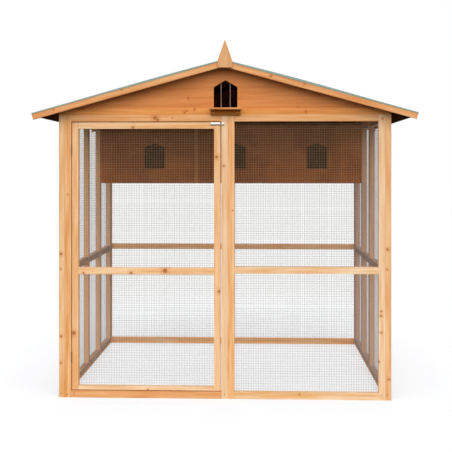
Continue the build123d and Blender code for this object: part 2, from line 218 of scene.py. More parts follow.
def knots_at(tree, place, knots):
    """Distance in knot radii to the nearest of the given knots, which lie in the front's laths."""
    nearest = None
    for x, z, radius in knots:
        offset = add(tree, "VectorMath", {0: place, 1: (x, cad_low.y, z)}, operation="SUBTRACT")
        flat = add(tree, "VectorMath", {0: offset, 1: (1, 0, 1)}, operation="MULTIPLY")
        distance = add(tree, "VectorMath", {0: flat}, "Value", operation="LENGTH")
        radii = add(tree, "Math", {0: distance, 1: radius}, operation="DIVIDE")
        if nearest is None:
            nearest = radii
        else:
            nearest = add(tree, "Math", {0: nearest, 1: radii}, operation="MINIMUM")
    depth = add(tree, "SeparateXYZ", {0: place}, "Y")
    behind = add(tree, "Math", {0: depth, 1: front_posts_end}, operation="GREATER_THAN")
    return add(tree, "Math", {0: behind, 1: KNOT_FREE, 2: nearest}, operation="MULTIPLY_ADD")


def knots_scattered(tree, turned, seed, every):
    """Distance in knot radii to knots strewn through the wood, one to each stretch of grain."""
    cell_size = (KNOT_CELL, KNOT_CELL, every)
    cells = add(tree, "VectorMath", {0: turned, 1: cell_size}, operation="DIVIDE")
    cells = add(tree, "VectorMath", {0: cells, 1: (seed, 2 * seed, 3 * seed)}, operation="ADD")
    centre = add(tree, "TexVoronoi", {"Vector": cells, "Scale": 1.0}, "Position")
    offset = add(tree, "VectorMath", {0: cells, 1: centre}, operation="SUBTRACT")
    offset = add(tree, "VectorMath", {0: offset, 1: cell_size}, operation="MULTIPLY")
    distance = add(tree, "VectorMath", {0: offset}, "Value", operation="LENGTH")
    return add(tree, "Math", {0: distance, 1: KNOT_RADIUS}, operation="DIVIDE")


def softwood(
    name,
    grain,
    pale,
    deep,
    seed=0.0,
    ring=5 * MM,
    wander=3.0,
    figure=0.3,
    streak=1.0,
    sheen=0.12,
    knots=(),
    knot_every=0.5,
    batch_and_painted_light=None,
):
    """Planed pine under a thin honey stain: pale and deep streaks, growth rings and knots.

    A batch is a direction, a distance along it, and the pale and deep tones of the wood past it:
    the tones of another batch of wood, and elsewhere painted light, where wood further in is
    painted paler.
    """
    material, tree, shader, place = new_material(name)
    turned = add(tree, "Mapping", {"Vector": place, "Rotation": GRAIN_TURN[grain]})
    drawn = {"Vector": turned, "Location": (seed,) * 3, "Scale": (1, 1, ALONG)}
    drawn = add(tree, "Mapping", drawn)

    if knots:
        knot = knots_at(tree, place, knots)
    else:
        knot = knots_scattered(tree, turned, seed, knot_every)
    # The grain bends and darkens out to some radii from a knot, which has a soft edge of its own
    halo = {0: knot, 1: 1.0, 2: 3.5, 3: 1.0, 4: 0.0}
    halo = add(tree, "MapRange", halo, interpolation_type="SMOOTHSTEP")
    core = {0: knot, 1: 0.7, 2: 1.2, 3: 1.0, 4: 0.0}
    core = add(tree, "MapRange", core, interpolation_type="SMOOTHSTEP")

    # Growth rings run along the lath, wander slowly, and flow round a knot
    across = add(tree, "VectorMath", {0: turned, 1: (1, 1, 0)}, "Value", operation="DOT_PRODUCT")
    rings = add(tree, "Math", {0: across, 1: ring}, operation="DIVIDE")
    drift = add(tree, "TexNoise", {"Vector": drawn, "Scale": 1 / RING_DRIFT, "Detail": 2.0}, "Fac")
    rings = add(tree, "Math", {0: drift, 1: wander, 2: rings}, operation="MULTIPLY_ADD")
    rings = add(tree, "Math", {0: halo, 1: 1.6, 2: rings}, operation="MULTIPLY_ADD")
    rings = add(tree, "Math", {0: rings}, operation="FRACT")
    late = add(tree, "MapRange", {0: rings, 1: 0.3, 2: 0.85}, interpolation_type="SMOOTHSTEP")
    spent = add(tree, "MapRange", {0: rings, 1: 0.85, 2: 1.0, 3: 1.0, 4: 0.0})
    late = add(tree, "Math", {0: late, 1: spent}, operation="MULTIPLY")
    streaks = add(tree, "TexNoise", {"Vector": drawn, "Scale": 1 / STREAK, "Detail": 3.0}, "Fac")
    fibres = add(tree, "TexNoise", {"Vector": drawn, "Scale": 1 / FIBRE, "Detail": 2.0}, "Fac")
    level = add(tree, "Mapping", {"Vector": drawn, "Scale": (1, 1, 0.4)})
    boards = {"Vector": level, "Scale": 1 / LATH_CHANGE, "Detail": 1.0}
    boards = add(tree, "TexNoise", boards, "Fac")

    # Tone from 0, pale, to 1, deep: streaks along the lath, and a change from lath to lath
    spread = {3: 0.5 - streak / 2, 4: 0.5 + streak / 2}
    tone = add(tree, "MapRange", {0: streaks, 1: 0.3, 2: 0.7, **spread})
    shift = add(tree, "MapRange", {0: boards, 1: 0.3, 2: 0.7, 3: -0.25, 4: 0.25})
    tone = add(tree, "Math", {0: tone, 1: shift}, operation="ADD")
    tone = add(tree, "Clamp", {0: tone})
    wood = add(tree, "Mix", {0: tone, 6: colour(pale), 7: colour(deep)}, 2, data_type="RGBA")
    if batch_and_painted_light:
        direction, distance, other_pale, other_deep = batch_and_painted_light
        other = {0: tone, 6: colour(other_pale), 7: colour(other_deep)}
        other = add(tree, "Mix", other, 2, data_type="RGBA")
        reach = add(tree, "VectorMath", {0: place, 1: direction}, "Value", operation="DOT_PRODUCT")
        past = add(tree, "Math", {0: reach, 1: distance}, operation="GREATER_THAN")
        wood = add(tree, "Mix", {0: past, 6: wood, 7: other}, 2, data_type="RGBA")
    for amount, strength in ((late, figure), (fibres, 0.25), (halo, 0.35)):
        amount = add(tree, "Math", {0: amount, 1: strength}, operation="MULTIPLY")
        wood = add(
            tree,
            "Mix",
            {0: amount, 6: wood, 7: colour(deep)},
            2,
            data_type="RGBA",
            blend_type="MULTIPLY",
        )
    core_cover = add(tree, "Math", {0: core, 1: 0.7}, operation="MULTIPLY")
    wood = add(tree, "Mix", {0: core_cover, 6: wood, 7: colour(KNOT_CORE)}, 2, data_type="RGBA")
    tree.links.new(wood, shader.inputs["Base Color"])

    dull = add(tree, "MapRange", {0: fibres, 1: 0.2, 2: 0.8, 3: 0.5, 4: 0.65})
    tree.links.new(dull, shader.inputs["Roughness"])
    shader.inputs["Specular IOR Level"].default_value = sheen
    relief = add(tree, "Math", {0: late, 1: 0.6, 2: fibres}, operation="MULTIPLY_ADD")
    bump = add(tree, "Bump", {"Height": relief, "Strength": 0.3, "Distance": 0.3 * MM})
    tree.links.new(bump, shader.inputs["Normal"])
    return material


def stained_ply(name, pale, deep, dark):
    """Birch ply under a walnut stain: broad level grain, lighter where a board ends."""
    material, tree, shader, place = new_material(name)
    turned = add(tree, "Mapping", {"Vector": place, "Rotation": GRAIN_TURN["x"]})
    drawn = add(tree, "Mapping", {"Vector": turned, "Scale": (1, 1, VENEER_ALONG)})
    # A diagonal wave repeats every 2 pi in ten times its scaled place
    veneer = add(
        tree,
        "TexWave",
        {
            "Vector": drawn,
            "Scale": 2 * math.pi / (10 * VENEER_BAND),
            "Distortion": 10.0,
            "Detail": 3.0,
            "Detail Scale": 0.15,
        },
        "Fac",
        bands_direction="DIAGONAL",
    )
    clouds = {"Vector": place, "Scale": 1 / VENEER_CLOUD, "Detail": 3.0}
    clouds = add(tree, "TexNoise", clouds, "Fac")
    fibres = add(tree, "TexNoise", {"Vector": drawn, "Scale": 1 / FIBRE, "Detail": 2.0}, "Fac")
    tone = add(tree, "MapRange", {0: clouds, 1: 0.35, 2: 0.65}, interpolation_type="SMOOTHSTEP")
    wood = add(tree, "Mix", {0: tone, 6: colour(deep), 7: colour(pale)}, 2, data_type="RGBA")
    dark_veneer = add(tree, "Math", {0: veneer, 1: 0.35}, operation="MULTIPLY")
    wood = add(tree, "Mix", {0: dark_veneer, 6: wood, 7: colour(dark)}, 2, data_type="RGBA")
    # Sapwood at the end of the left board takes less stain
    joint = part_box("nest_front_left")[1].x
    across = add(tree, "SeparateXYZ", {0: place}, "X")
    from_joint = add(tree, "Math", {0: across, 1: joint - SAPWOOD_IN}, operation="SUBTRACT")
    from_joint = add(tree, "Math", {0: from_joint}, operation="ABSOLUTE")
    sapwood = add(
        tree,
        "MapRange",
        {0: from_joint, 1: SAPWOOD_SHARP, 2: SAPWOOD_FADED, 3: 0.45, 4: 0.0},
        interpolation_type="SMOOTHSTEP",
    )
    wood = add(tree, "Mix", {0: sapwood, 6: wood, 7: colour("D0904E")}, 2, data_type="RGBA")
    tree.links.new(wood, shader.inputs["Base Color"])
    shader.inputs["Roughness"].default_value = 0.65
    shader.inputs["Specular IOR Level"].default_value = 0.12
    relief = add(tree, "Math", {0: veneer, 1: fibres}, operation="ADD")
    bump = add(tree, "Bump", {"Height": relief, "Strength": 0.25, "Distance": 0.3 * MM})
    tree.links.new(bump, shader.inputs["Normal"])
    return material


# Felt and metal


def mineral_felt():
    """Bitumen felt with green slate chippings: a dull, gritty sheet that never glints."""
    material, tree, shader, place = new_material("green_mineral_felt")
    # Real chippings are about 1 mm; these are coarser, with mottling that still shows from afar
    chip_scale = {"Vector": place, "Scale": 1 / CHIPPING}
    chips = add(tree, "TexVoronoi", chip_scale, "Color")
    grit = add(tree, "TexVoronoi", chip_scale, "Distance")
    chip_tone = add(tree, "SeparateColor", {0: chips})
    mottle = add(tree, "TexNoise", {"Vector": place, "Scale": 1 / MOTTLE, "Detail": 4.0}, "Fac")
    weather = {"Vector": place, "Scale": 1 / WEATHERING, "Detail": 2.0}
    weather = add(tree, "TexNoise", weather, "Fac")
    felt = {0: chip_tone, 6: colour("6F8377"), 7: colour("A9BAAC")}
    felt = add(tree, "Mix", felt, 2, data_type="RGBA")
    some = add(tree, "MapRange", {0: mottle, 1: 0.4, 2: 0.7, 3: 0.0, 4: 0.6})
    felt = add(tree, "Mix", {0: some, 6: felt, 7: colour("80948A")}, 2, data_type="RGBA")
    some = add(tree, "MapRange", {0: weather, 1: 0.45, 2: 0.75, 3: 0.0, 4: 0.4})
    felt = add(tree, "Mix", {0: some, 6: felt, 7: colour("9CA093")}, 2, data_type="RGBA")
    tree.links.new(felt, shader.inputs["Base Color"])
    shader.inputs["Roughness"].default_value = 0.92
    relief = add(tree, "Math", {0: grit, 1: mottle}, operation="ADD")
    bump = add(tree, "Bump", {"Height": relief, "Strength": 0.5, "Distance": 0.8 * MM})
    tree.links.new(bump, shader.inputs["Normal"])
    return material


def metal(name, dark, light, patch, rough, metallic, painted_light_above=None):
    """A metal surface with a patchy tone and a shine that changes with it.

    Painted light above a height is that height, how far it fades there, and the dark and light
    tones above it, painted paler than those below, as lit metal over shaded metal.
    """
    material, tree, shader, place = new_material(name)
    patches = add(tree, "TexNoise", {"Vector": place, "Scale": 1 / patch, "Detail": 3.0}, "Fac")
    patches = add(tree, "MapRange", {0: patches, 1: 0.3, 2: 0.7})
    tone = add(tree, "Mix", {0: patches, 6: colour(dark), 7: colour(light)}, 2, data_type="RGBA")
    if painted_light_above:
        height, fade, lit_dark, lit_pale = painted_light_above
        lit_tone = {0: patches, 6: colour(lit_dark), 7: colour(lit_pale)}
        lit_tone = add(tree, "Mix", lit_tone, 2, data_type="RGBA")
        # Painted light and shade: paler tones above the height, darker below
        level = add(tree, "SeparateXYZ", {0: place}, "Z")
        lit_share = add(tree, "MapRange", {0: level, 1: height - fade, 2: height + fade})
        tone = add(tree, "Mix", {0: lit_share, 6: tone, 7: lit_tone}, 2, data_type="RGBA")
    tree.links.new(tone, shader.inputs["Base Color"])
    shine = add(tree, "MapRange", {0: patches, 3: rough, 4: rough + 0.15})
    tree.links.new(shine, shader.inputs["Roughness"])
    shader.inputs["Metallic"].default_value = metallic
    return material


# Modelling


def only(thing):
    """Selects one object alone and makes it active."""
    bpy.ops.object.select_all(action="DESELECT")
    thing.select_set(True)
    bpy.context.view_layer.objects.active = thing


def joined(things):
    """Joins several objects into one mesh."""
    bpy.ops.object.select_all(action="DESELECT")
    for thing in things:
        thing.select_set(True)
    bpy.context.view_layer.objects.active = things[0]
    bpy.ops.object.join()
    return things[0]


def finished(thing, name, material, body):
    """Bakes a piece's place into its mesh, names it, and says its finish and its body."""
    only(thing)
    bpy.ops.object.transform_apply(location=True, rotation=True, scale=True)
    thing.name = name
    thing.data.name = name
    thing.data.materials.clear()
    thing.data.materials.append(material)
    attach(thing, body)
    return thing


def copy_of(pattern, place, turn=(0, 0, 0)):
    """A copy of a modelled piece, with its own mesh, set and turned in its place."""
    made = pattern.copy()
    made.data = pattern.data.copy()
    bpy.context.scene.collection.objects.link(made)
    made.location = place
    made.rotation_euler = turn
    return made


def row(pattern, start, step, count, turn=(0, 0, 0)):
    """A row of copies of a modelled piece, from a start by a step."""
    made = copy_of(pattern, start, turn)
    only(made)
    bpy.ops.object.transform_apply(location=True, rotation=True, scale=True)
    array = made.modifiers.new("row", "ARRAY")
    array.count = count
    array.use_relative_offset = False
    array.use_constant_offset = True
    array.constant_offset_displace = step
    bpy.ops.object.modifier_apply(modifier="row")
    return made


def steps_along(length, spacing):
    """How many whole steps of about a spacing fit a length, and the step that fills it."""
    count = max(1, round(length / spacing))
    return count, length / count


def wire(length):
    """One straight wire standing on the Z axis, with its cut ends closed."""
    bpy.ops.object.select_all(action="DESELECT")
    bpy.ops.mesh.primitive_cylinder_add(vertices=6, radius=WIRE / 2, depth=length)
    return bpy.context.object


def raise_top(head, rim, lift):
    """Insets the top of a round head by its rim, and moves what is inside the rim up."""
    only(head)
    bpy.ops.object.mode_set(mode="EDIT")
    bpy.ops.mesh.select_mode(type="FACE")
    bpy.ops.mesh.select_all(action="DESELECT")
    bpy.ops.object.mode_set(mode="OBJECT")
    for face in head.data.polygons:
        face.select = face.normal.z > 0.9
    bpy.ops.object.mode_set(mode="EDIT")
    bpy.ops.mesh.inset(thickness=rim)
    bpy.ops.transform.translate(value=(0, 0, lift))
    bpy.ops.object.mode_set(mode="OBJECT")


def staple():
    """One staple lying on the XY plane, its crown along X and its legs down."""
    bpy.ops.object.select_all(action="DESELECT")
    bpy.ops.mesh.primitive_cube_add(size=1, location=(0, 0, STAPLE_WIRE / 2))
    made = bpy.context.object
    made.scale = (STAPLE_CROWN, STAPLE_WIRE, STAPLE_WIRE)
    bpy.ops.object.transform_apply(location=True, rotation=True, scale=True)
    bpy.ops.object.mode_set(mode="EDIT")
    leg = STAPLE_CROWN / 2 - STAPLE_WIRE
    for side in (-1, 1):
        bpy.ops.mesh.select_all(action="SELECT")
        bpy.ops.mesh.bisect(plane_co=(side * leg, 0, 0), plane_no=(1, 0, 0))
    bpy.ops.mesh.select_all(action="DESELECT")
    bpy.ops.object.mode_set(mode="OBJECT")
    for face in made.data.polygons:
        face.select = face.normal.z < -0.9 and abs(face.center.x) > leg
    bpy.ops.object.mode_set(mode="EDIT")
    bpy.ops.mesh.select_mode(type="FACE")
    bpy.ops.mesh.extrude_region_move(TRANSFORM_OT_translate={"value": (0, 0, -STAPLE_LEG)})
    bpy.ops.object.mode_set(mode="OBJECT")
    return made


def screw_head(width):
    """A countersunk head facing +Z, half of it sunk, with a cross cut into it."""
    bpy.ops.object.select_all(action="DESELECT")
    thick, rim, dome = width * 0.3, width * 0.12, width * 0.05
    bpy.ops.mesh.primitive_cylinder_add(vertices=16, radius=width / 2, depth=thick)
    head = bpy.context.object
    raise_top(head, rim, dome)
    for turn in (0, math.pi / 2):
        bpy.ops.object.select_all(action="DESELECT")
        bpy.ops.mesh.primitive_cube_add(size=1, location=(0, 0, width * 0.2), rotation=(0, 0, turn))
        blade = bpy.context.object
        blade.scale = (width * 0.55, rim, thick)
        only(head)
        cut = head.modifiers.new("cross", "BOOLEAN")
        cut.object = blade
        cut.operation = "DIFFERENCE"
        bpy.ops.object.modifier_apply(modifier="cross")
        bpy.data.objects.remove(blade)
    return head


def clout_head():
    """A clout nail's broad head facing +Z, domed a little."""
    bpy.ops.object.select_all(action="DESELECT")
    bpy.ops.mesh.primitive_cylinder_add(vertices=10, radius=CLOUT_HEAD / 2, depth=CLOUT_THICK)
    head = bpy.context.object
    raise_top(head, CLOUT_HEAD * 0.25, CLOUT_DOME)
    return head


# Welded mesh with its staples


def welded_mesh(node, name, body, square, wire_finish, staple_finish):
    """A sheet of crossing wires in place of its coarse bars, stapled on along its edges."""
    low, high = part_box(node)
    size, middle = high - low, (low + high) / 2
    thin = 0 if size.x < size.y else 1
    run = 1 - thin
    inward = 1 if middle[thin] < 0 else -1
    face = low[thin] if inward > 0 else high[thin]
    along = Vector((0, 0, 0))
    along[run] = 1
    up = Vector((0, 0, 1))

    # Uprights against the laths, and level wires welded on their inner side
    corner = Vector(middle)
    corner[thin] = face + inward * WIRE / 2
    corner[run] = low[run] + WIRE / 2
    count, step = steps_along(size[run] - WIRE, square)
    upright = wire(size.z)
    uprights = row(upright, corner, along * step, count + 1)
    corner = Vector(middle)
    corner[thin] = face + inward * (WIRE * (1.5 - WELD_SINK))
    corner.z = low.z + WIRE / 2
    count, step = steps_along(size.z - WIRE, MESH_SQUARE)
    level_turn = (0, math.pi / 2, 0) if run == 0 else (math.pi / 2, 0, 0)
    level = wire(size[run])
    levels = row(level, corner, up * step, count + 1, level_turn)
    for pattern in (upright, level):
        bpy.data.objects.remove(pattern)
    sheet = finished(joined([uprights, levels]), name, wire_finish, body)
    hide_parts(node)

    # Staples: crowns across the outermost wires, legs into the laths, none near the corners
    over = face + inward * (WIRE * (2 - WELD_SINK) - STAPLE_WIRE / 2)
    to_wood = (0, inward * math.pi / 2, 0) if thin == 0 else (-inward * math.pi / 2, 0, 0)
    pattern = staple()
    corner_gap = 3 * STAPLE_EDGE
    rows = []
    for end in (low, high):
        toward = 1 if end is low else -1
        start = Vector(middle)
        start[thin] = over
        start.z = end.z + toward * STAPLE_EDGE
        start[run] = low[run] + corner_gap
        count, step = steps_along(size[run] - 2 * corner_gap, STAPLE_STEP)
        rows.append(row(pattern, start, along * step, count + 1, to_wood))
        start = Vector(middle)
        start[thin] = over
        start[run] = end[run] + toward * STAPLE_EDGE
        start.z = low.z + corner_gap
        count, step = steps_along(size.z - 2 * corner_gap, STAPLE_STEP)
        rows.append(row(pattern, start, up * step, count + 1, to_wood))
    bpy.data.objects.remove(pattern)
    finished(joined(rows), f"{name}_staples", staple_finish, body)


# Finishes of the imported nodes


def dress(material, *names):
    """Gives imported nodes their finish."""
    for name in names:
        for place in nodes[name].material_slots:
            place.material = material


# Painted shade: the lower edge of the bolt's zinc is painted dark, as the shade under its barrel
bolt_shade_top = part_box("bolt_plate")[0].z + BOLT_SHADE_HEIGHT
zinc_painted_shade = metal(
    "zinc_plate_painted_shade",
    "4A423A",
    "6A6056",
    patch=4 * MM,
    rough=0.35,
    metallic=0.35,
    painted_light_above=(bolt_shade_top, BOLT_SHADE_FADE, "DAD6CF", "F4F1EA"),
)
dull_wire = metal(
    "galvanised_wire", "807E7B", "989490", patch=12 * MM, rough=0.55, metallic=0.1
)
# Painted light on the front's wires in front of the nest box
front_wire = metal(
    "galvanised_wire_painted_light",
    "807E7B",
    "989490",
    patch=12 * MM,
    rough=0.55,
    metallic=0.1,
    painted_light_above=(WIRES_PAINTED_LIGHT_FROM, WIRES_PAINTED_LIGHT_FADE, "A88866", "C6A480"),
)
dull_steel = metal(
    "dull_hinge_steel", "6E5238", "8A6A4A", patch=6 * MM, rough=0.50, metallic=0.3
)
bar_steel = metal("galvanised_bar", "7A6352", "94796A", patch=15 * MM, rough=0.50, metallic=0.2)
screw_steel = metal(
    "yellow_passivated_screws", "6B5A45", "94805F", patch=2 * MM, rough=0.40, metallic=0.8
)
staple_steel = metal(
    "bright_staple_wire", "A5A39E", "C9C7C2", patch=5 * MM, rough=0.35, metallic=0.8
)

# Knots that show on the front, as (x, z, radius)
LEFT_POST_KNOTS = (
    (-1.047, 0.220, 6 * MM),
    (-1.046, 0.920, 9 * MM),
    (-1.049, 0.823, 5 * MM),
    (-1.046, 0.392, 8 * MM),
)
FRAME_STILE_KNOTS = ((-0.0505, 0.69, 6 * MM), (-0.002, 1.484, 6 * MM), (-1.002, 1.30, 4 * MM))
DOOR_STILE_KNOTS = ((-0.963, 0.413, 13 * MM), (-0.030, 0.684, 10 * MM), (-0.0475, 1.541, 9 * MM))
RIGHT_STILE_KNOTS = (
    (0.997, 0.563, 6 * MM),
    (0.995, 0.535, 7 * MM),
    (0.995, 0.430, 6 * MM),
    (0.983, 0.244, 5 * MM),
    (1.004, 1.784, 5 * MM),
    (0.055, 1.20, 4 * MM),
)
RIGHT_POST_KNOTS = ((1.035, 0.956, 8 * MM), (1.034, 0.829, 5 * MM), (1.044, 0.133, 6 * MM))
DOOR_RAIL_KNOTS = (
    (-0.377, 0.816, 15 * MM),
    (-0.595, 0.799, 9 * MM),
    (-0.901, 0.797, 7 * MM),
    (-0.583, 1.731, 7 * MM),
    (-0.486, 0.056, 5 * MM),
)
FRAME_RAIL_KNOTS = ((-0.440, 1.790, 12 * MM), (-0.423, 1.779, 8 * MM), (-0.330, 1.792, 3 * MM))
STRIP_KNOTS = (
    (-0.252, 1.827, 5 * MM),
    (-0.238, 1.836, 4 * MM),
    (-0.188, 1.846, 5 * MM),
    (0.520, 1.828, 5 * MM),
)
LEFT_BARGE_KNOTS = ((-1.075, 1.841, 5 * MM), (-0.640, 1.962, 4 * MM))
RIGHT_BARGE_KNOTS = ((0.297, 2.047, 6 * MM), (0.506, 1.995, 4 * MM))

# Places between two stiles or rails: past the stiles' places the wood is from another batch, and
# above the rails' place the top rail is deeper and browner
DOOR_MIDDLE = -0.5
PANEL_MIDDLE = 0.5
TOP_RAIL_FROM = 1.7

# Painted light: the side posts behind the front pair are painted paler, standing in for light that
# does not reach them. The right stiles have their own batches, and the top rail is deeper and
# browner.
dress(
    softwood(
        "pine_left_post",
        "z",
        "F1D0A4",
        "DEA96E",
        seed=1.3,
        knots=LEFT_POST_KNOTS,
        batch_and_painted_light=((0, 1, 0), front_posts_end, "FFD094", "FFB97A"),
    ),
    "left_side_posts",
)
dress(
    softwood(
        "pine_right_post",
        "z",
        "EFC797",
        "DCA162",
        seed=2.1,
        knots=RIGHT_POST_KNOTS,
        batch_and_painted_light=((0, 1, 0), front_posts_end, "FFC07A", "FA9E5A"),
    ),
    "right_side_posts",
)
dress(
    softwood(
        "pine_door_frame_stile",
        "z",
        "F5CA96",
        "DD9C58",
        seed=3.7,
        knots=FRAME_STILE_KNOTS,
        batch_and_painted_light=((1, 0, 0), DOOR_MIDDLE, "F2D6B1", "E2B47F"),
    ),
    "door_frame_stiles",
)
dress(
    softwood(
        "pine_panel_stile",
        "z",
        "F6CE9E",
        "E2A362",
        seed=4.9,
        knots=RIGHT_STILE_KNOTS,
        batch_and_painted_light=((1, 0, 0), PANEL_MIDDLE, "F7E0C1", "E7BD8B"),
    ),
    "front_panel_stiles",
)
dress(
    softwood("pine_door_stile", "z", "F6D1A6", "E5AD72", seed=5.2, knots=DOOR_STILE_KNOTS),
    "door_stiles",
)
# Painted light: the back posts are painted paler than the front's wood, standing in for light that
# does not reach them
dress(softwood("pine_back_post_painted_light", "z", "FFD898", "FFBE7E", seed=6.4), "back_posts")
dress(
    softwood(
        "pine_panel_rail",
        "x",
        "F7E2C5",
        "E4B378",
        seed=7.7,
        batch_and_painted_light=((0, 0, 1), TOP_RAIL_FROM, "ECBE8D", "D99655"),
    ),
    "front_panel_rails",
)
dress(
    softwood("pine_door_rail", "x", "F7D9B3", "E3AC6C", seed=7.1, knots=DOOR_RAIL_KNOTS),
    "door_rails",
)
# Painted light: the back rails are painted paler, standing in for light that does not reach them
dress(softwood("pine_back_rail_painted_light", "x", "FFDAA6", "F8B26A", seed=6.9), "back_rails")
dress(
    softwood("pine_door_frame_rail", "x", "EDBC86", "DB985A", seed=8.1, knots=FRAME_RAIL_KNOTS),
    "door_frame_rails",
)
dress(softwood("pine_shelf", "x", "E8AC70", "CE8848", seed=3.3), "landing_shelf")
# Painted shade: the cleat under the landing shelf is painted a deep brown, as the shelf's shade on
# it
dress(softwood("pine_cleat_painted_shade", "x", "B07020", "9B5713", seed=4.4, sheen=0.1), "shelf_cleat")
dress(
    softwood("pine_side_rail", "y", "E6B078", "CE8C50", seed=8.5),
    "left_side_rails",
    "right_side_rails",
    "eave_plates",
)
dress(
    softwood("pine_gable_strip", "x", "EDA75E", "D5863E", seed=9.1, ring=9 * MM, knots=STRIP_KNOTS),
    "gable_strips",
)
dress(
    softwood(
        "pine_gable_board",
        "x",
        "E79C5A",
        "CC7D40",
        seed=10.3,
        ring=45 * MM,
        wander=8.0,
        figure=0.10,
        streak=0.6,
        sheen=0.15,
        knot_every=0.9,
    ),
    "front_gable_board",
    "back_gable_board",
)
dress(
    softwood(
        "pine_bargeboard_left",
        "left slope",
        "F0BE88",
        "DC9658",
        seed=11.6,
        knots=LEFT_BARGE_KNOTS,
    ),
    "front_bargeboard_left",
    "back_bargeboard_left",
)
dress(
    softwood(
        "pine_bargeboard_right",
        "right slope",
        "F0BE88",
        "DC9658",
        seed=12.2,
        knots=RIGHT_BARGE_KNOTS,
    ),
    "front_bargeboard_right",
    "back_bargeboard_right",
)
dress(softwood("pine_finial", "z", "E5BB8B", "D89D64", seed=13.8), "finials")
# Painted shade: the roof deck is painted near black-brown, as the shade on the soffit under the
# eaves
dress(
    softwood("deck_painted_shade", "y", "5A3817", "3E2610", seed=14.5, ring=8 * MM, sheen=0.0),
    "roof_deck_left",
    "roof_deck_right",
)
# Painted light and shade: the nest's front is painted paler than its walnut stain, as if lit under
# the roof's shade, and its back, ends, floor and lid darker, as the shade inside the box
dress(
    stained_ply("walnut_stained_ply", "B8642A", "964E1E", "603210"),
    "nest_front_left",
    "nest_front_middle",
    "nest_front_right",
)
dress(
    stained_ply("walnut_ply_painted_shade", "6E3E1E", "4E2A12", "32190A"),
    "nest_back",
    "nest_ends",
    "nest_floor_and_lid",
)
roof_felt = mineral_felt()
dress(roof_felt, "roof_felt_left", "roof_felt_right")
dress(bar_steel, "entry_bars")
dress(zinc_painted_shade, "bolt_plate", "bolt_pin", "bolt_keeper")
dress(dull_steel, "hinge_frame_leaves", "hinge_door_leaves")

# The mesh sheets
for node, name, body, square, finish in (
    ("left_side_mesh", "left_side_wires", "loft", MESH_SQUARE, dull_wire),
    ("right_side_mesh", "right_side_wires", "loft", MESH_SQUARE, dull_wire),
    ("back_mesh", "back_wires", "loft", MESH_SQUARE, dull_wire),
    ("front_panel_mesh", "front_panel_wires", "loft", PANEL_SQUARE, front_wire),
    ("door_mesh", "door_wires", "door", DOOR_SQUARE, front_wire),
):
    welded_mesh(node, name, body, square, finish, staple_steel)


# Screws


def screws(name, places, width, turn, body, material):
    """Heads of one size, half sunk at their places on one face."""
    pattern = screw_head(width)
    heads = [copy_of(pattern, place, turn) for place in places]
    bpy.data.objects.remove(pattern)
    return finished(joined(heads), name, material, body)


FACING_FRONT = (math.pi / 2, 0, 0)
FACING_BACK = (-math.pi / 2, 0, 0)

# Screws that show along the foot of the front, as (x, z)
FOOT_SCREWS = (
    (-1.047, 0.026),
    (-1.004, 0.020),
    (-0.962, 0.026),
    (0.004, 0.028),
    (0.998, 0.031),
    (1.034, 0.034),
)
foot_screws = [(x, front_y, z) for x, z in FOOT_SCREWS]
screws("front_foot_screws", foot_screws, SCREW_HEAD, FACING_FRONT, "loft", screw_steel)
cleat_low, cleat_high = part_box("shelf_cleat")
cleat_middle = (cleat_low + cleat_high) / 2
cleat_screws = [
    (cleat_middle.x + side * CLEAT_SCREW_OFF, cleat_low.y, cleat_middle.z) for side in (-1, 1)
]
screws("cleat_screws", cleat_screws, SCREW_HEAD, FACING_FRONT, "loft", screw_steel)
back_low, back_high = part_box("back_posts")
back_screws = [
    (x, back_high.y, z)
    for x in (back_low.x + POST_SCREW_IN, 0, back_high.x - POST_SCREW_IN)
    for z in (POST_SCREW_UP, back_high.z - POST_SCREW_UP)
]
screws("back_foot_screws", back_screws, SCREW_HEAD, FACING_BACK, "loft", screw_steel)

# Two small nails through each finial, their heads punched in until they are just under its face
finial_low, finial_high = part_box("finials")
finial_x = (finial_low.x + finial_high.x) / 2
finial_y = finial_low.y + FINIAL_NAIL_SINK
finial_front = [(finial_x + off, finial_y, finial_low.z + up) for off, up in FINIAL_NAILS]
screws("front_finial_nails", finial_front, SMALL_SCREW_HEAD, FACING_FRONT, "loft", screw_steel)
finial_back = [(x, -y, z) for x, y, z in finial_front]
screws("back_finial_nails", finial_back, SMALL_SCREW_HEAD, FACING_BACK, "loft", screw_steel)

# Small screws in the bolt's plate and keeper
plate_low, plate_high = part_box("bolt_plate")
keeper_low, keeper_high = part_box("bolt_keeper")
plate_y = front_y - PLATE_THICK
plate_screws = [
    ((plate_low.x + plate_high.x) / 2 + off, plate_y, z)
    for off in PLATE_SCREWS_OFF
    for z in (plate_low.z + PLATE_SCREW_IN, plate_high.z - PLATE_SCREW_IN)
]
screws("bolt_plate_screws", plate_screws, SMALL_SCREW_HEAD, FACING_FRONT, "door", staple_steel)
keeper_screws = [
    ((keeper_low.x + keeper_high.x) / 2, plate_y, z)
    for z in (keeper_low.z + PLATE_SCREW_IN, keeper_high.z - PLATE_SCREW_IN)
]
screws("bolt_keeper_screws", keeper_screws, SMALL_SCREW_HEAD, FACING_FRONT, "loft", staple_steel)


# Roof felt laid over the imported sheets: upper courses, folded verges, capping and nails

felt_low, felt_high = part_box("roof_felt_left")
ridge_top = felt_high.z
felt_length = felt_high.y - felt_low.y
slope_length = -felt_low.x / math.cos(ROOF_PITCH) - FELT_INSET
course_length = felt_length - 2 * FELT_INSET
cap_length = felt_length - 4 * FELT_INSET


def felt_strip(centre, length, width, thick, turn):
    """A strip of felt of a length in Y, with softened edges, lying on a slope."""
    bpy.ops.object.select_all(action="DESELECT")
    bpy.ops.mesh.primitive_cube_add(size=1)
    strip = bpy.context.object
    strip.scale = (width, length, thick)
    bpy.ops.object.transform_apply(location=False, rotation=False, scale=True)
    bpy.ops.object.mode_set(mode="EDIT")
    bpy.ops.mesh.select_all(action="SELECT")
    bpy.ops.mesh.bevel(offset=min(length, thick) * FELT_ROUNDING, segments=2)
    bpy.ops.object.mode_set(mode="OBJECT")
    strip.location = centre
    strip.rotation_euler = (0, turn, 0)
    return strip


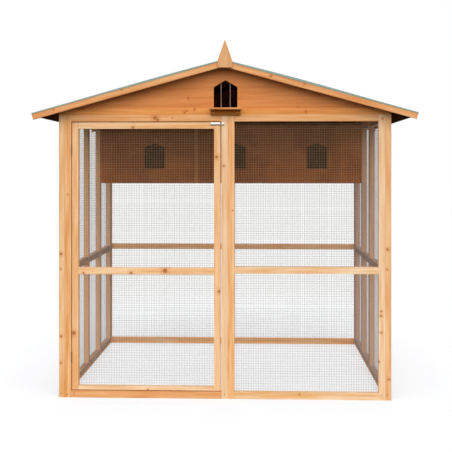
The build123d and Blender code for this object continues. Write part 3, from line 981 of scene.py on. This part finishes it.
def lift_fold(fold, side, lift):
    """Lifts the upper edge of a folded verge between ridge and eave, most above its middle."""
    only(fold)
    bpy.ops.object.mode_set(mode="EDIT")
    bpy.ops.mesh.select_mode(type="EDGE")
    bpy.ops.mesh.select_all(action="DESELECT")
    bpy.ops.object.mode_set(mode="OBJECT")
    places = [vertex.co for vertex in fold.data.vertices]
    for edge in fold.data.edges:
        start, end = edge.vertices
        edge.select = abs(places[start].x - places[end].x) > slope_length / 2
    bpy.ops.object.mode_set(mode="EDIT")
    bpy.ops.mesh.subdivide(number_cuts=LIFT_CUTS)
    bpy.ops.mesh.select_mode(type="VERT")
    bpy.ops.object.mode_set(mode="OBJECT")
    for vertex in fold.data.vertices:
        if vertex.co.z > 0:
            down = max(0.5 + side * vertex.co.x / slope_length, 0)
            vertex.co.z += lift * math.sin(math.pi * down**LIFT_SKEW) ** 2


def on_slope(side, down, lift):
    """The point at a distance down one slope from the ridge, lifted square to the felt."""
    x = side * (down * math.cos(ROOF_PITCH) + lift * math.sin(ROOF_PITCH))
    return x, ridge_top - down * math.sin(ROOF_PITCH) + lift * math.cos(ROOF_PITCH)


courses = []
for side in (-1, 1):
    x, z = on_slope(side, FELT_LAP_DOWN / 2, FELT_THICK / 2)
    turn = side * ROOF_PITCH
    courses.append(felt_strip((x, 0, z), course_length, FELT_LAP_DOWN, FELT_THICK, turn))
finished(joined(courses), "upper_felt_courses", roof_felt, "loft")

capping = []
for side in (-1, 1):
    x, z = on_slope(side, CAP_WIDTH / 2 - CAP_MEETING, FELT_THICK + FELT_THICK / 2)
    capping.append(felt_strip((x, 0, z), cap_length, CAP_WIDTH, FELT_THICK, side * ROOF_PITCH))
finished(joined(capping), "ridge_capping_strip", roof_felt, "loft")

folds = []
for side, lift in ((-1, LEFT_LIFT), (1, RIGHT_LIFT)):
    for end in (felt_low.y, felt_high.y):
        outer = math.copysign(FELT_THICK / 2, end)
        x, z = on_slope(side, slope_length / 2, (FELT_HEM - FELT_FOLD) / 2)
        deep = FELT_HEM + FELT_FOLD
        fold = felt_strip((x, end + outer, z), FELT_THICK, slope_length, deep, side * ROOF_PITCH)
        lift_fold(fold, side, lift)
        folds.append(fold)
finished(joined(folds), "folded_felt_verges", roof_felt, "loft")

clout = clout_head()
clouts = []
end_gap = 3 * CLOUT_EDGE
for side in (-1, 1):
    turn = (0, side * ROOF_PITCH, 0)
    for down, lift in (
        (CAP_WIDTH - CLOUT_EDGE, 2 * FELT_THICK),
        (FELT_LAP_DOWN - CLOUT_EDGE, FELT_THICK),
        (slope_length - CLOUT_EDGE, 0.0),
    ):
        x, z = on_slope(side, down, lift + CLOUT_PROUD)
        count, step = steps_along(felt_length - 2 * end_gap, CLOUT_STEP)
        clouts.append(row(clout, (x, felt_low.y + end_gap, z), (0, step, 0), count + 1, turn))
    for y in (felt_low.y + CLOUT_EDGE, felt_high.y - CLOUT_EDGE):
        x, z = on_slope(side, FELT_LAP_DOWN + end_gap, CLOUT_PROUD)
        count, step = steps_along(slope_length - FELT_LAP_DOWN - 2 * end_gap, CLOUT_STEP)
        down_step = (side * step * math.cos(ROOF_PITCH), 0, -step * math.sin(ROOF_PITCH))
        clouts.append(row(clout, (x, y, z), down_step, count + 1, turn))
bpy.data.objects.remove(clout)
finished(joined(clouts), "felt_clout_nails", staple_steel, "loft")


# Studio


def seen_rays(tree):
    """One for what the camera or a shiny or clear surface sees, and zero for what only lights."""
    path = tree.nodes.new("ShaderNodeLightPath").outputs
    seen = add(tree, "Math", {0: path["Is Camera Ray"], 1: path["Is Glossy Ray"]}, operation="ADD")
    seen = {0: seen, 1: path["Is Transmission Ray"]}
    return add(tree, "Math", seen, operation="ADD", use_clamp=True)


def studio_floor():
    """A pale floor that takes the shadows and, seen by the camera, runs into the white backdrop."""
    material, tree, shader, place = new_material("pale_studio_floor")
    # Grey where shadows fall; further out it lights nothing, and its glow is the backdrop's white
    reach = add(tree, "VectorMath", {0: place}, "Value", operation="LENGTH")
    reach = {0: reach, 1: FLOOR_NEAR, 2: FLOOR_FAR}
    reach = add(tree, "MapRange", reach, interpolation_type="SMOOTHSTEP")
    tone = {0: reach, 6: colour("ACAEB2"), 7: colour("1A1A1A")}
    tone = add(tree, "Mix", tone, 2, data_type="RGBA")
    tree.links.new(tone, shader.inputs["Base Color"])
    shader.inputs["Roughness"].default_value = 1.0
    shader.inputs["Specular IOR Level"].default_value = 0.0
    glow = add(tree, "MapRange", {0: reach, 3: FLOOR_GLOW, 4: 1.0})
    glow = add(tree, "Math", {0: seen_rays(tree), 1: glow}, operation="MULTIPLY")
    shader.inputs["Emission Color"].default_value = (1, 1, 1, 1)
    tree.links.new(glow, shader.inputs["Emission Strength"])
    bpy.ops.object.select_all(action="DESELECT")
    bpy.ops.mesh.primitive_plane_add(size=FLOOR_SIZE, location=(0, 0, 0))
    floor = bpy.context.object
    floor.name = "studio_floor"
    floor.data.materials.append(material)


def studio_sky():
    """Soft light from all round, and plain white where the camera or a shiny surface sees it."""
    world = bpy.data.worlds.new("studio")
    bpy.context.scene.world = world
    world.use_nodes = True
    tree = world.node_tree
    tree.nodes.clear()
    level = add(tree, "MapRange", {0: seen_rays(tree), 3: SKY_LEVEL, 4: 1.0})
    sky = add(tree, "Background", {"Color": (1, 1, 1, 1), "Strength": level})
    add(tree, "OutputWorld", {"Surface": sky}, out=slice(0))


def soft_lamp(name, place, target, width, height, power):
    """A broad soft lamp aimed at a point."""
    light = bpy.data.lights.new(name, "AREA")
    light.shape = "RECTANGLE"
    light.size, light.size_y, light.energy = width, height, power
    lamp = bpy.data.objects.new(name, light)
    bpy.context.scene.collection.objects.link(lamp)
    lamp.location = place
    lamp.rotation_euler = (Vector(target) - Vector(place)).to_track_quat("-Z", "Y").to_euler()


studio_floor()
studio_sky()
soft_lamp(
    "front_softbox",
    place=(0.9, -32.1, 18.9),
    target=(0, -0.9, 0.9),
    width=80.0,
    height=36.0,
    power=FRONT_LAMP,
)
soft_lamp(
    "top_softbox",
    place=(0, -0.5, 6.5),
    target=(0, 0, 1.0),
    width=4.0,
    height=4.0,
    power=TOP_LAMP,
)
soft_lamp(
    "back_softbox",
    place=(0, 6.5, 4.0),
    target=(0, 0, 1.0),
    width=5.0,
    height=3.0,
    power=BACK_LAMP,
)

camera = bpy.data.cameras.new("camera")
camera.sensor_width = SENSOR
camera.lens = LENS_PIXELS / PHOTO_SIZE * SENSOR
camera.shift_y = (HORIZON_ROW - PHOTO_SIZE / 2) / PHOTO_SIZE
eye = bpy.data.objects.new("camera", camera)
bpy.context.scene.collection.objects.link(eye)
eye.location = CAMERA_PLACE
eye.rotation_euler = (math.pi / 2, 0, CAMERA_TURN)
bpy.context.scene.camera = eye
bpy.context.scene.view_settings.view_transform = "Standard"
